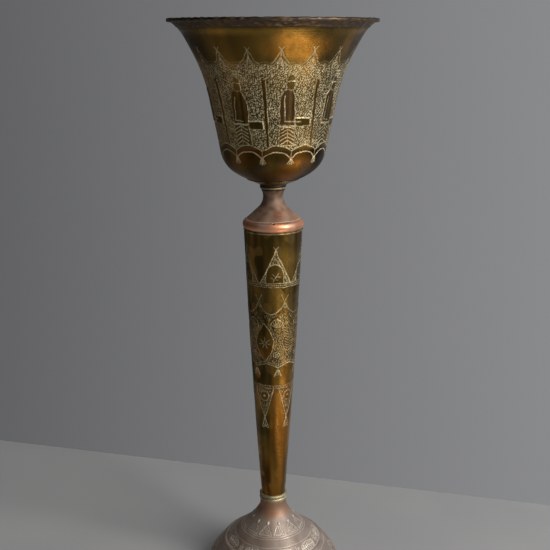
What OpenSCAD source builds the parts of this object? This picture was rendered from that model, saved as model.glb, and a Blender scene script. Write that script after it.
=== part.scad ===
// Tall engraved vase of brass and copper sheet, in sections.
// A bell-shaped cup screws into a copper shoulder on a long tapered stem. A rod inside
// the stem clamps it to a domed foot.
// The axis is Z and the foot rests on Z = 0. Sizes are in millimetres and slopes are in
// degrees from vertical, positive where a wall leans outwards going up.

/* [Sheet and wire] */
// Thickness of the cup's brass sheet
cup_t = 0.8; // [0.6:0.1:1]
// Thickness of the stem's brass sheet
stem_t = 0.9; // [0.7:0.1:1.1]
// Thickness of the copper sheet of the shoulder and the foot
copper_t = 1; // [0.8:0.1:1.2]
// Radius of the wire in the cup's lip
lip_wire_r = 0.75; // [0.5:0.05:0.75]

/* [Foot] */
// Outer radius of the foot's flat rim
foot_r = 78; // [77.6:0.1:80]
// Height of the foot's flat rim
foot_rim_h = 4; // [4:0.5:5]
// Width of the flat edge turned in under the foot
foot_edge_w = 6; // [5:0.5:8]
// Radius of the wire that stiffens the foot's edge
foot_wire_r = 1.2; // [0.8:0.1:1.3]

/* [Stem] */
// Height of the joint between the foot and the stem
joint_z = 88; // [87:0.5:89]
// Outer radius of the stem at the joint
stem_r = 12.7; // [12.6:0.1:12.9]
// Length of the stem tube
stem_len = 309; // [280:1:340]
// Slope of the stem's wall at its lower end
stem_low_slope = 4.24; // [4:0.02:4.3]
// Slope of the stem's wall at its upper end
stem_high_slope = 2.44; // [2.2:0.02:2.6]
// Radius of each bead on the ring round the joint
ring_bead_r = 2.1; // [2:0.1:2.4]

/* [Shoulder] */
// Thickness of the disc that closes the stem
cap_t = 2; // [1.6:0.1:2.4]
// Radius of the half-round band's section
band_bead_r = 6; // [5.6:0.1:6.2]
// Outer radius of the shoulder cone where it meets the band
shoulder_r = 27.3; // [27.1:0.1:27.5]

/* [Cup joint] */
// Radius of the threaded stud, taken over the thread
stud_r = 5; // [4:0.1:5]
// Running clearance between the stud and the bush
stud_gap = 0.05; // [0.02:0.01:0.08]
// Thickness of the leather washer
washer_t = 1.4; // [1:0.1:2]
// Height of the turned collar
collar_h = 4.6; // [4.4:0.1:5]

/* [Tie rod] */
// Radius of the steel rod
rod_r = 4; // [3:0.5:4]
// Width of the rod's nuts across their flats
nut_af = 13; // [12:0.5:14]
// Height of the rod's nuts
nut_h = 6.5; // [5:0.5:6.5]

/* [Hidden] */

BRASS = [0.42, 0.33, 0.14];
BRIGHT_BRASS = [0.72, 0.62, 0.34];
COPPER = [0.62, 0.42, 0.33];
STEEL = [0.45, 0.45, 0.46];
LEATHER = [0.13, 0.09, 0.06];

SMOOTH = 96;          // facets round a turned piece
BEND_STEPS = 8;       // straight steps along each bend of a wall
FIT = 0.05;           // gap between brazed or pressed pieces

// ---- wall outlines: a path is a list of [radius, height, slope] going outwards and up

// A bend of the given radius from the path's last point to a new slope.
function bend(p, bend_r, slope) =
    let (turn = sign(slope - p[2]))
    [for (i = [1:BEND_STEPS])
        let (a = p[2] + (slope - p[2]) * i / BEND_STEPS)
        [p[0] + turn * bend_r * (cos(p[2]) - cos(a)),
         p[1] + turn * bend_r * (sin(a) - sin(p[2])), a]];
// A straight stretch that rises by the given height.
function rise(p, h) = [[p[0] + h * tan(p[2]), p[1] + h, p[2]]];
// A level stretch that widens by the given amount.
function level(p, w) = [[p[0] + w, p[1], p[2]]];
function end(path) = path[len(path) - 1];
function step(p, move) =
    move[0] == "bend" ? bend(p, move[1], move[2])
    : move[0] == "rise" ? rise(p, move[1])
    : level(p, move[1]);
function trace(path, moves, i = 0) =
    i == len(moves) ? path : trace(concat(path, step(end(path), moves[i])), moves, i + 1);

// The same path with its last point squared off, so that the wall ends in a level face.
function cut_level(path) =
    [for (i = [0:len(path) - 1])
        let (p = path[i])
        i == len(path) - 1 ? [p[0], p[1], 0] : p];

function outer_face(path) = [for (p = path) [p[0], p[1]]];
function inner_face(path, t) =
    [for (i = [len(path) - 1:-1:0])
        let (p = path[i])
        [p[0] - t * cos(p[2]), p[1] + t * sin(p[2])]];

// A spun wall: the path is its outer face, and its inner face lies t further in.
module spun_wall(path, t) {
    rotate_extrude($fn = SMOOTH)
        polygon(concat(outer_face(path), inner_face(path, t)));
}

module disc(r, h, bore_r, z) {
    translate([0, 0, z])
        difference() {
            cylinder(r = r, h = h, $fn = SMOOTH);
            translate([0, 0, -1])
                cylinder(r = bore_r, h = h + 2, $fn = SMOOTH);
        }
}

module wire_loop(loop_r, wire_r, z) {
    translate([0, 0, z])
        rotate_extrude($fn = SMOOTH)
            translate([loop_r, 0])
                circle(r = wire_r, $fn = 32);
}

module hex_nut(z) {
    translate([0, 0, z])
        difference() {
            cylinder(r = nut_af / sqrt(3), h = nut_h, $fn = 6);
            translate([0, 0, -1])
                cylinder(r = rod_r, h = nut_h + 2, $fn = SMOOTH);
        }
}

// ---- foot

foot_path = trace([[foot_r - 0.8, foot_rim_h, -18]], [
    ["bend", 67.5, -49.2],
    ["rise", 22.4],
    ["bend", 65, -27.7],
    ["bend", 14, 0],
]);
foot_neck_r = end(foot_path)[0];
foot_rim_in = foot_r - copper_t;      // inner radius of the flat rim
edge_in = foot_r - foot_edge_w;       // inner radius of the turned-in edge

module foot_dome() {
    neck = concat(foot_path, [[foot_neck_r, joint_z, 0]]);
    color(COPPER) {
        spun_wall(neck, copper_t);
        rotate_extrude($fn = SMOOTH)
            polygon([
                [edge_in, 0], [foot_r - 0.4, 0], [foot_r, 0.4],
                [foot_r, foot_rim_h - 0.6], [foot_r - 0.6, foot_rim_h + 0.4],
                [foot_rim_in - 1, foot_rim_h + 0.4], [foot_rim_in, foot_rim_h - 0.6],
                [foot_rim_in, copper_t], [edge_in, copper_t]
            ]);
    }
}

module foot_edge_wire() {
    color(STEEL) wire_loop(foot_rim_in - foot_wire_r, foot_wire_r, copper_t + foot_wire_r);
}

// ---- clamp under the foot

plate_r = 20;
plate_t = 2.4;
plate_z = joint_z - 24.5;
plate_washer_t = 2;
nut_z = plate_z - plate_washer_t - nut_h;
rod_low = nut_z - 5;

module clamp_plate() {
    color(BRASS) disc(plate_r, plate_t, rod_r + 0.3, plate_z);
}

module clamp_washer() {
    color(STEEL) disc(11, plate_washer_t, rod_r + 0.3, plate_z - plate_washer_t);
}

module clamp_nut() {
    color(STEEL) hex_nut(nut_z);
}

// ---- stem

stem_z = joint_z + stem_len;          // top of the stem tube
stem_bend_r = stem_len / (sin(stem_low_slope) - sin(stem_high_slope));
stem_path = cut_level(trace(
    [[stem_r, joint_z, stem_low_slope]],
    [["bend", stem_bend_r, stem_high_slope]]
));
stem_top_r = end(stem_path)[0];

module stem_tube() {
    color(BRASS) spun_wall(stem_path, stem_t);
}

// The plug's spigot fits the foot's neck and its nose fits the stem.
module stem_plug() {
    spigot_r = foot_neck_r - copper_t - FIT;
    nose_r = stem_r - stem_t - FIT;
    color(BRASS)
        difference() {
            union() {
                translate([0, 0, joint_z - 14]) cylinder(r = spigot_r, h = 14, $fn = SMOOTH);
                translate([0, 0, joint_z]) cylinder(r = nose_r, h = 14, $fn = SMOOTH);
            }
            translate([0, 0, joint_z - 20]) cylinder(r = rod_r + FIT, h = 40, $fn = SMOOTH);
        }
}

// Two beads on one band. The band has a wide bore over the foot's neck and a narrow
// bore over the stem.
module stem_ring() {
    low = joint_z - 2.4;
    high = low + 4 * ring_bead_r;
    narrow_r = stem_r + (high - joint_z) * tan(stem_low_slope) + FIT;
    color(BRIGHT_BRASS)
        difference() {
            rotate_extrude($fn = SMOOTH) {
                translate([narrow_r, low]) square([0.8, high - low]);
                for (i = [0, 1])
                    translate([narrow_r + 0.1, low + (2 * i + 1) * ring_bead_r])
                        circle(r = ring_bead_r, $fn = 32);
            }
            translate([0, 0, low - 1])
                cylinder(r = foot_neck_r + FIT, h = joint_z - low + 1, $fn = SMOOTH);
            translate([0, 0, joint_z - 1])
                cylinder(r = narrow_r, h = high - joint_z + 2, $fn = SMOOTH);
        }
}

module tie_rod() {
    color(STEEL)
        translate([0, 0, rod_low])
            cylinder(r = rod_r, h = rod_high - rod_low, $fn = SMOOTH);
}

// ---- shoulder

cap_z = stem_z + cap_t;               // top face of the cap disc
cap_edge_r = stem_top_r + 0.5;
band_h = 11;
band_mid_r = shoulder_r - 1.4;
top_washer_t = 1.5;
rod_high = cap_z + top_washer_t + nut_h + 2;

module stem_cap_disc() {
    color(BRIGHT_BRASS)
        difference() {
            translate([0, 0, stem_z]) {
                rotate_extrude($fn = SMOOTH) {
                    square([cap_edge_r - cap_t / 2, cap_t]);
                    translate([cap_edge_r - cap_t / 2, cap_t / 2])
                        circle(r = cap_t / 2, $fn = 32);
                }
            }
            translate([0, 0, stem_z - 1]) cylinder(r = rod_r + 0.2, h = cap_t + 2, $fn = SMOOTH);
        }
}

module top_washer() {
    color(STEEL) disc(10, top_washer_t, rod_r + 0.2, cap_z);
}

module top_nut() {
    color(STEEL) hex_nut(cap_z + top_washer_t);
}

// A half-round copper band with a straight bore, standing on the cap disc.
module shoulder_band() {
    color(COPPER)
        translate([0, 0, cap_z])
            rotate_extrude($fn = SMOOTH)
                intersection() {
                    translate([band_mid_r, 4.8]) circle(r = band_bead_r, $fn = 48);
                    translate([shoulder_r + FIT, 0]) square([band_bead_r, band_h]);
                }
}

shoulder_path = cut_level(trace([[shoulder_r, cap_z, 0], [shoulder_r, cap_z + band_h, -47]], [
    ["rise", 11],
    ["bend", 16, 0],
    ["bend", 12.5, 32],
]));
neck_z = end(shoulder_path)[1];       // top of the neck
throat_r = shoulder_path[len(shoulder_path) - 1 - BEND_STEPS][0];

module shoulder_cone() {
    color(COPPER) spun_wall(shoulder_path, copper_t);
}

// ---- screw joint of the cup

bush_h = 12;
stud_low = neck_z - 10;

module neck_bush() {
    color(BRASS) disc(throat_r - copper_t - FIT, bush_h, stud_r + stud_gap, neck_z - bush_h);
}

module neck_washer() {
    color(LEATHER) disc(end(shoulder_path)[0] - 0.3, washer_t, stud_r + stud_gap, neck_z);
}

// ---- cup

collar_z = neck_z + washer_t;
collar_r = 14;
collar_top = collar_z + collar_h;
dish_step = 4.5;                      // from the dish's flat to the bowl's flat
bowl_z = collar_top + dish_step;
bowl_path = trace([[stud_r + FIT, bowl_z, 90]], [
    ["level", 11.6],
    ["bend", 32, 70],
    ["bend", 54, 53],
    ["bend", 31, 11.2],
    ["rise", 53],
    ["bend", 170, 28.5],
    ["rise", 11],
    ["bend", 60, 48.5],
    ["rise", 2.2],
]);
ledge_r = bowl_path[1 + BEND_STEPS][0];
ledge_z = bowl_path[1 + BEND_STEPS][1];
lip_bead_r = lip_wire_r + cup_t + FIT;
lip_mid = [
    end(bowl_path)[0] + (lip_bead_r - cup_t) * cos(end(bowl_path)[2]),
    end(bowl_path)[1] - (lip_bead_r - cup_t) * sin(end(bowl_path)[2])
];
inner_washer_t = 1.4;
head_z = bowl_z + cup_t + inner_washer_t;
head_h = 3.2;

// A plain band above a bead, with a spigot that carries the bowl.
module cup_collar() {
    bead_h = 2.6;
    color(BRASS)
        difference() {
            translate([0, 0, collar_z])
                rotate_extrude($fn = SMOOTH) {
                    square([collar_r - 1.3, collar_h]);
                    translate([collar_r - 1.5, bead_h / 2]) circle(r = bead_h / 2, $fn = 32);
                    translate([0, bead_h + 0.5]) square([collar_r, collar_h - bead_h - 0.5]);
                    square([9, collar_h + dish_step]);
                }
            translate([0, 0, collar_z - 1])
                cylinder(r = stud_r + FIT, h = collar_h + dish_step + 2, $fn = SMOOTH);
        }
}

// A shallow pan whose edge meets the bowl in a small step.
module cup_dish() {
    rim = [ledge_r, ledge_z - cup_t - 2 * FIT, 70];
    color(BRASS)
        spun_wall([[9 + FIT, collar_top, 90], [collar_r, collar_top, 90], rim], cup_t);
}

module cup_bowl() {
    color(BRASS)
        difference() {
            union() {
                spun_wall(bowl_path, cup_t);
                wire_loop(lip_mid[0], lip_bead_r, lip_mid[1]);
            }
            wire_loop(lip_mid[0], lip_wire_r + FIT, lip_mid[1]);
        }
}

module rim_wire() {
    color(STEEL) wire_loop(lip_mid[0], lip_wire_r, lip_mid[1]);
}

module cup_inner_washer() {
    color(BRIGHT_BRASS) disc(14, inner_washer_t, stud_r + FIT, bowl_z + cup_t);
}

// A plain shank stands for the thread. Its head is a shallow dome.
module cup_stud() {
    head_r = 8;
    dome_r = (head_r * head_r + head_h * head_h) / (2 * head_h);
    color(BRIGHT_BRASS) {
        translate([0, 0, stud_low]) cylinder(r = stud_r, h = head_z - stud_low, $fn = SMOOTH);
        translate([0, 0, head_z])
            intersection() {
                translate([0, 0, head_h - dome_r]) sphere(r = dome_r, $fn = SMOOTH);
                cylinder(r = head_r, h = head_h, $fn = SMOOTH);
            }
    }
}

foot_dome();
foot_edge_wire();
clamp_plate();
clamp_washer();
clamp_nut();
tie_rod();
stem_plug();
stem_ring();
stem_tube();
stem_cap_disc();
top_washer();
top_nut();
shoulder_band();
shoulder_cone();
neck_bush();
neck_washer();
cup_collar();
cup_dish();
cup_bowl();
rim_wire();
cup_inner_washer();
cup_stud();
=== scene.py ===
"""The looks of a tall vase of chased brass and spun copper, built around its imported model.

Every wall is a closed section turned round the axis on a fine grid. The chased work is drawn
on that grid: each motif moves the surface in or out and says how bright the cut metal is.
Sections are in millimetres, with angle 0 facing -Y and growing towards +X.
"""

import math

import bpy
import numpy as np
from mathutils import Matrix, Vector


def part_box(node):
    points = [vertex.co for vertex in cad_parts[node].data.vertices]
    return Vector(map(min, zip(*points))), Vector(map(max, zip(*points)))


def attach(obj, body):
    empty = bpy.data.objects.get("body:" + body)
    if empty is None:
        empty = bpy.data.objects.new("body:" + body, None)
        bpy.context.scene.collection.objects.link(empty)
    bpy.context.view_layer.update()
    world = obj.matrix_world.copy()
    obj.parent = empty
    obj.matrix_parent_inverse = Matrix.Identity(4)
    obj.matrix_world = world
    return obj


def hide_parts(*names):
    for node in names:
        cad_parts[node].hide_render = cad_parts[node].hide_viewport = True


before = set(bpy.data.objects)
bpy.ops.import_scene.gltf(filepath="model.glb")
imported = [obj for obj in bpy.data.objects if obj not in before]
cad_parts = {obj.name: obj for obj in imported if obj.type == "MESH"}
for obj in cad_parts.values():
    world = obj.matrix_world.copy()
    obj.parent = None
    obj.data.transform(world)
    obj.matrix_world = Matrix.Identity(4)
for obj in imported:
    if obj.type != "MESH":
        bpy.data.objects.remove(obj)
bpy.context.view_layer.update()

MM = 0.001
SEED = 11
TONES = ("bright", "grime_and_shade", "dull", "warm")    # what each point tells the material, 0 to 1
CUT_DEPTH = 0.22    # an ordinary graver line, in millimetres


# ---- sections


def node_mm(name):
    """The CAD node's lowest and highest heights and its largest radius, in millimetres."""
    low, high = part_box(name)
    return low.z / MM, high.z / MM, high.x / MM


TRACE_STEP = 0.25    # millimetres between the rows of a traced wall


def trace(start, moves):
    """A wall's outer face as rows of radius, height and slope from vertical in degrees."""
    rows = [start]
    for kind, *size in moves:
        r, z, slope = rows[-1]
        if kind == "bend":
            bend_r, last = size
            a0 = math.radians(slope)
            side = math.copysign(bend_r, last - slope)
            count = max(8, int(bend_r * abs(math.radians(last) - a0) / TRACE_STEP))
            for a in np.radians(np.linspace(slope, last, count + 1)[1:]):
                dr = side * (math.cos(a0) - math.cos(a))
                dz = side * (math.sin(a) - math.sin(a0))
                rows.append((r + dr, z + dz, math.degrees(a)))
        else:
            angle = math.radians(slope)
            dr, dz = (size[0] * math.tan(angle), size[0]) if kind == "rise" else (size[0], 0)
            count = max(2, int(math.hypot(dr, dz) / TRACE_STEP))
            for k in np.linspace(0, 1, count + 1)[1:]:
                rows.append((r + k * dr, z + k * dz, slope))
    return np.array(rows)


def inner(path, t):
    """The wall's inner face, going back down."""
    a = np.radians(path[:, 2])
    return np.column_stack([path[:, 0] - t * np.cos(a), path[:, 1] + t * np.sin(a)])[::-1]


def thin_out(points, spacing):
    """The same line with points a spacing apart, which is a size or a function of height."""
    points = np.asarray(points, float)[:, :2]
    along = np.concatenate([[0], np.cumsum(np.hypot(*np.diff(points, axis=0).T))])
    places, here = [0.0], 0.0
    while here < along[-1]:
        z = np.interp(here, along, points[:, 1])
        here += spacing(z) if callable(spacing) else spacing
        places.append(min(here, along[-1]))
    if places[-1] - places[-2] < 1e-6:
        places.pop()
    return np.column_stack([np.interp(places, along, points[:, k]) for k in (0, 1)])


def soften(corners, cut):
    """A closed section with each corner turned into a small round."""
    corners = np.asarray(corners, float)
    out = []
    for before, corner, after in zip(np.roll(corners, 1, 0), corners, np.roll(corners, -1, 0)):
        back, on = before - corner, after - corner
        reach = min(cut, np.hypot(*back) / 2.5, np.hypot(*on) / 2.5)
        p = corner + back / np.hypot(*back) * reach
        q = corner + on / np.hypot(*on) * reach
        out += [p, (p + q + 2 * corner) / 4, q]
    return np.array(out)


def rounded(corners, cut, spacing):
    """A closed section with rounded corners and its points about spacing apart."""
    points = soften(corners, cut)
    return thin_out(np.vstack([points, points[:1]]), spacing)[:-1]


def arc(centre, radius, first, last, count):
    """Points of a circular arc, by angle in degrees from +radius."""
    a = np.radians(np.linspace(first, last, count))
    return np.column_stack([centre[0] + radius * np.cos(a), centre[1] + radius * np.sin(a)])


# ---- meshes


def revolve(name, section, columns, relief, outer_rows=None, sharp=40):
    """A closed mesh from a section that runs counter-clockwise, seen with the axis on its left.

    The relief is drawn on the whole section and kept on its first outer_rows points, if given.
    Edges are sharp where faces meet at more than sharp degrees.
    """
    section = np.asarray(section, float)
    rows = len(section)
    along = np.roll(section, -1, 0) - np.roll(section, 1, 0)
    normal = np.column_stack([along[:, 1], -along[:, 0]])
    normal /= np.maximum(np.hypot(*normal.T), 1e-9)[:, None]
    theta = np.arange(columns) * (2 * math.pi / columns)
    r = np.repeat(section[:, :1], columns, 1)
    z = np.repeat(section[:, 1:], columns, 1)
    art = Chasing(np.repeat(theta[None, :], rows, 0), r, z)
    relief(art)
    art.wear()
    if outer_rows is not None:
        art.clear_after(outer_rows)
    r = r + art.lift * normal[:, :1]
    z = z + art.lift * normal[:, 1:]
    co = np.stack([r * np.sin(theta), -r * np.cos(theta), z], -1).reshape(-1, 3) * MM
    ring = np.arange(rows)[:, None] * columns
    column = np.arange(columns)[None, :]
    next_ring, next_column = np.roll(ring, -1, 0), np.roll(column, -1, 1)
    faces = np.stack(
        [ring + column, ring + next_column, next_ring + next_column, next_ring + column], -1
    )
    mesh = bpy.data.meshes.new(name)
    mesh.from_pydata(co, [], faces.reshape(-1, 4).tolist())
    for tone in TONES:
        attribute = mesh.attributes.new(tone, "FLOAT", "POINT")
        attribute.data.foreach_set("value", getattr(art, tone).astype(np.float32).ravel())
    mesh.shade_smooth()
    mesh.set_sharp_from_angle(angle=math.radians(sharp))
    piece = bpy.data.objects.new(name, mesh)
    bpy.context.scene.collection.objects.link(piece)
    return piece


def curl(p, pitch, seed, waves=32):
    """Worm-like noise of one pitch, about -1 to 1, at points in millimetres."""
    rng = np.random.default_rng(seed)
    k = rng.normal(size=(waves, 3))
    k *= (2 * math.pi / pitch / np.linalg.norm(k, axis=1))[:, None]
    phase = rng.uniform(0, 2 * math.pi, waves)
    total = np.zeros(p[0].shape)
    for (kx, ky, kz), f in zip(k, phase):
        total += np.cos(kx * p[0] + ky * p[1] + kz * p[2] + f)
    return total / math.sqrt(waves / 2) / 1.6


def ramp(x, low, high):
    """0 below low and 1 above high, with a smooth way between."""
    t = np.clip((x - low) / (high - low), 0, 1)
    return t * t * (3 - 2 * t)


def to_line(u, v, points):
    """Distance from each place to a line through the points."""
    best = np.full(u.shape, 1e9)
    for (x0, y0), (x1, y1) in zip(points[:-1], points[1:]):
        dx, dy = x1 - x0, y1 - y0
        t = np.clip(((u - x0) * dx + (v - y0) * dy) / max(dx * dx + dy * dy, 1e-12), 0, 1)
        best = np.minimum(best, np.hypot(u - x0 - t * dx, v - y0 - t * dy))
    return best


def in_shape(u, v, corners):
    """Whether each place is inside the closed outline."""
    hit = np.zeros(u.shape, bool)
    for (x0, y0), (x1, y1) in zip(corners, np.roll(corners, -1, 0)):
        if y0 != y1:
            crosses = (y0 > v) != (y1 > v)
            hit ^= crosses & (u < (x1 - x0) * (v - y0) / (y1 - y0) + x0)
    return hit


class Chasing:
    """Work cut into a wall: lift in millimetres, how bright or grimy each point is, and where
    shade is painted on it.
    """

    def __init__(self, theta, r, z):
        self.theta, self.r, self.z = theta, r, z
        self.p = (r * np.sin(theta), -r * np.cos(theta), z)
        self.lift, self.bright, self.grime_and_shade, self.dull, self.warm = (
            np.zeros(r.shape) for _ in range(5)
        )

    def clear_after(self, row):
        """Leaves a wall's inner face plain and a little dull."""
        for field in (self.lift, self.bright, self.grime_and_shade, self.warm):
            field[row:] = 0
        self.dull[row:] = 0.35

    def at_least(self, tone, amount):
        """Raises one tone to amount where it is lower."""
        setattr(self, tone, np.maximum(getattr(self, tone), amount))

    def by_hand(self, size):
        """Lets everything drawn from here on wander by about size millimetres."""
        aside, up = (size * curl(self.p, 10.0, SEED + k) for k in (3, 4))
        self.theta = self.theta + aside / self.r
        self.z, self.r = self.z + up, self.r + 0.7 * up

    def theta_near(self, degrees):
        """Signed angle from one direction, in radians."""
        return (self.theta - math.radians(degrees) + math.pi) % (2 * math.pi) - math.pi

    def across(self, count, phase):
        """Millimetres along the surface from the nearest of count equal places."""
        pitch = 2 * math.pi / count
        turn = (self.theta - math.radians(phase) + pitch / 2) % pitch - pitch / 2
        return turn * self.r

    def share(self, count, phase):
        """0 at each of count equal places, and 1 half way to the next."""
        return np.abs(self.across(count, phase)) / (math.pi / count * self.r)

    def engrave(self, mark, depth, shine):
        """Cuts the surface in and shows clean metal, where mark is 1."""
        self.lift -= depth * mark
        self.at_least("bright", shine * mark)
        self.grime_and_shade *= 1 - mark

    def cut(self, distance, width, depth=CUT_DEPTH, shine=1.0, where=1):
        """A cut line where distance is small."""
        mark = 1 - ramp(distance, width * 0.3, width * 0.75)
        self.engrave(mark * where, depth, shine)

    def line(self, u, points, width, shine=1.0, v=None):
        """A cut line through points, in millimetres across and up."""
        v = self.z if v is None else v
        points = np.asarray(points, float)
        low, high = points.min(0) - 2, points.max(0) + 2
        near = (u > low[0]) & (u < high[0]) & (v > low[1]) & (v < high[1])
        mark = np.zeros(u.shape)
        mark[near] = 1 - ramp(to_line(u[near], v[near], points), width * 0.3, width * 0.75)
        self.engrave(mark, CUT_DEPTH, shine)

    def pair(self, u, points, width, shine=1.0):
        """A cut line through points, and its mirror image."""
        for side in (-1, 1):
            self.line(side * u, points, width, shine)

    def matting(self, where, pitch, shine, dirt=0.6, depth=0.2):
        """Curly punched ground over a share of the surface, with dirt left between the curls."""
        marks = curl(self.p, pitch, SEED, 60) + 0.45 * curl(self.p, pitch * 0.62, SEED + 1)
        worm = ramp(marks, -0.12, 0.5)
        self.lift += where * (depth * worm - depth)
        self.at_least("bright", where * worm * shine)
        self.at_least("grime_and_shade", where * (1 - worm) * dirt)

    def plain(self, where, lift, grime_and_shade):
        """Burnished metal over a share of the surface, with no ground in it."""
        self.lift = self.lift * (1 - where) + lift * where
        self.bright *= 1 - where
        self.grime_and_shade = self.grime_and_shade * (1 - where) + grime_and_shade * where

    def raised(self, distance, width, height):
        """A half-round rib."""
        self.lift += height * np.sqrt(np.clip(1 - (distance / width) ** 2, 0, 1))

    def wear(self):
        """Bright cuts dulled in places by handling and old lacquer."""
        broken = ramp(curl(self.p, 2.6, SEED + 7), -0.9, 0.5)
        clouds = ramp(curl(self.p, 34.0, SEED + 8), -1.0, 0.9)
        self.bright *= (0.5 + 0.5 * broken) * (0.72 + 0.28 * clouds)

    def lumps(self, where, pitch, height, seed):
        """Soft unevenness over a share of the surface."""
        self.lift += where * height * curl(self.p, pitch, seed)


# ---- the chased work

# how many of each motif go round, and in which direction the first one is, in degrees
SCALLOPS, PEAKS, STAVES = (12, -10.8), (16, 5.8), (8, 39.5)
RIGHT_FIGURES, LEFT_FIGURES = (4, 14.0), (4, -31.0)
TRIANGLES, LINE_BEADS = (5, 6.0), (86, 0)
TENTS, FAN_LEAVES, NET_CUSPS = (6, 26.5), (6, 9.0), (6, 13.0)
LARGE_ALMONDS, SMALL_ALMONDS = (3, -21.0), (3, 39.0)
PENDANTS, PENDANT_BEADS = (5, 45.5), (48, 0)
PETALS, LEAVES, BUDS, BOWS = (12, 15.0), (9, 14.0), (9, 34.0), (16, 0.0)

# heights on the cup, in millimetres
SCALLOP_Z, GARLAND_Z = 485.3, 567.0
STAVE_TOP, STAVE_LENGTH = 554, 64

# heights on the stem
TRIANGLE_BASE, TRIANGLE_TIP = 345.4, 381
NET_TOP, ALMOND_Z, ROSETTE_Z, NET_LOW = 311.5, 279.5, 265.8, 250.2
PENDANT_TOP, PENDANT_TIP = 227, 192.5

# places on the foot, as distances from the axis
PETAL_ROOT, PETAL_END, LEAF_R, RIDGE_R, BOW_END = 24.6, 32.8, 49, 55.6, 71.8


def flower(art, u, z, size, rays, v=None, turn=11.0):
    """Rays of one length round a place."""
    for a in np.radians(np.arange(rays) * 360 / rays + turn):
        tip = (size * math.sin(a), z + size * math.cos(a))
        base = (0.22 * size * math.sin(a), z + 0.22 * size * math.cos(a))
        art.line(u, [base, tip], 0.5, shine=0.8, v=v)


HEAD = np.array(
    [(-2.9, -4.0), (-3.9, -0.2), (-3.2, 3.0), (0, 4.4), (3.1, 3.2), (3.6, 0.7), (4.4, -0.6),
     (3.5, -1.3), (3.0, -3.9), (0.4, -4.8)]
)
CAP = np.array([(-4.2, 3.2), (4.0, 3.6), (3.4, 7.2), (0.4, 9.8), (-3.4, 7.4)])


def figure(art, u, robe, skirt, fold, head, facing, red):
    """A standing figure in a long robe, with a plain oval head in profile."""
    head_shape, cap = (shape * (facing, 1) + head for shape in (HEAD, CAP))
    for shape, lift in ((robe, 0.3), (skirt, 0.05), (head_shape, 0.35), (cap, 0.2)):
        shape = np.asarray(shape, float)
        art.plain(in_shape(u, art.z, shape).astype(float), lift, 0.25)
        art.line(u, np.vstack([shape, shape[:1]]), 0.7, shine=0.7)
    in_robe = in_shape(u, art.z, robe)
    art.lift += in_robe * 0.16 * np.cos(u * 1.15)
    art.at_least("warm", (in_robe | in_shape(u, art.z, np.array(skirt))) * red)
    # painted shading: each robe is darker towards its sides and pale down its middle, as a round
    # robe is lit
    art.at_least("grime_and_shade", in_robe * (0.36 - 0.3 * np.cos(u * 0.75)))
    art.at_least("dull", in_robe * red * 1.2)
    art.line(u, fold, 0.8, shine=0.9)
    top = skirt[0][1]
    art.line(u, [(skirt[0][0] - 0.4, top + 0.8), (skirt[1][0] + 0.4, top + 0.8)], 0.9)
    art.line(u, [(0, top), (0.2, skirt[2][1])], 0.6, shine=0.8)
    for z in np.arange(skirt[2][1] + 1.2, top - 2.4, 3.5):
        art.pair(u, [(6.6, z), (0.5, z + 3.7)], 0.85)
    brow = head[1] + 3.4
    art.line(u, [(head[0] - 3.9, brow), (head[0] + 3.9, brow + 0.3)], 0.6)


def slab(art, u, left, right, low, high):
    """A plain block with a bright line along its top and its end."""
    corners = np.array([(left, low), (right, low), (right, high), (left, high)])
    art.plain(in_shape(u, art.z, corners).astype(float), 0.25, 0.55)
    art.line(u, [(left, high), (right, high), (right, low)], 1.2)
    art.line(u, [(left, low), (right, low)], 0.6, shine=0.6)


def cup_field(art, inside):
    """Curly ground between the garland and the scallops, with staves, blocks and figures."""
    z = art.z
    art.matting(inside, 1.7, shine=0.9, dirt=0.34)
    stave = np.abs(art.across(*STAVES) + 2.2 - (STAVE_TOP - z) * 0.05)
    width = 1.8 - 0.8 * (STAVE_TOP - z) / STAVE_LENGTH
    on_stave = ramp(width - stave, -0.3, 0.3) * (z < STAVE_TOP)
    art.plain(on_stave * inside, 0.22, 0.55)
    art.at_least("warm", on_stave * inside * 0.2)
    art.cut(np.abs(stave - width - 0.4), 0.5, 0.1, 0.45, inside * (z < STAVE_TOP))
    u = art.across(*RIGHT_FIGURES)
    slab(art, u, 8.2, 23.2, 510.0, 518.0)
    figure(
        art, u,
        robe=[(-7.6, 511), (-8.8, 524), (-8.6, 539), (-6.0, 543.6), (-2, 545), (3.2, 545),
              (5.2, 540), (6.2, 525), (6.4, 511)],
        skirt=[(-7.8, 509), (6.6, 509), (7.4, 491.2), (-8.2, 491.2)],
        fold=[(-4.6, 539), (-3.2, 514.6), (13.0, 514.2)],
        head=(0.6, 549.2), facing=1, red=0.3,
    )
    u = art.across(*LEFT_FIGURES)
    slab(art, u, 9.6, 23.6, 506.8, 514.6)
    figure(
        art, u,
        robe=[(-7.4, 512), (-8.2, 526), (-7.8, 539), (-4.4, 543.2), (3.2, 542.6), (7.4, 537.6),
              (9.8, 530), (9.8, 520), (8.8, 511.6)],
        skirt=[(-7.6, 510.4), (8.4, 510.4), (10.6, 490.6), (-6.8, 490.6)],
        fold=[(-3.6, 537), (-5.0, 514.8), (3.0, 514)],
        head=(1.2, 547.0), facing=-1, red=0.06,
    )
    # two short bows over the left figures' heads
    for level, reach in ((558.4, 4.6), (561.2, 5.2)):
        art.cut(np.abs(z - level + 0.01 * u * u), 1.0, where=np.abs(u - 4.0) < reach)


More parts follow.
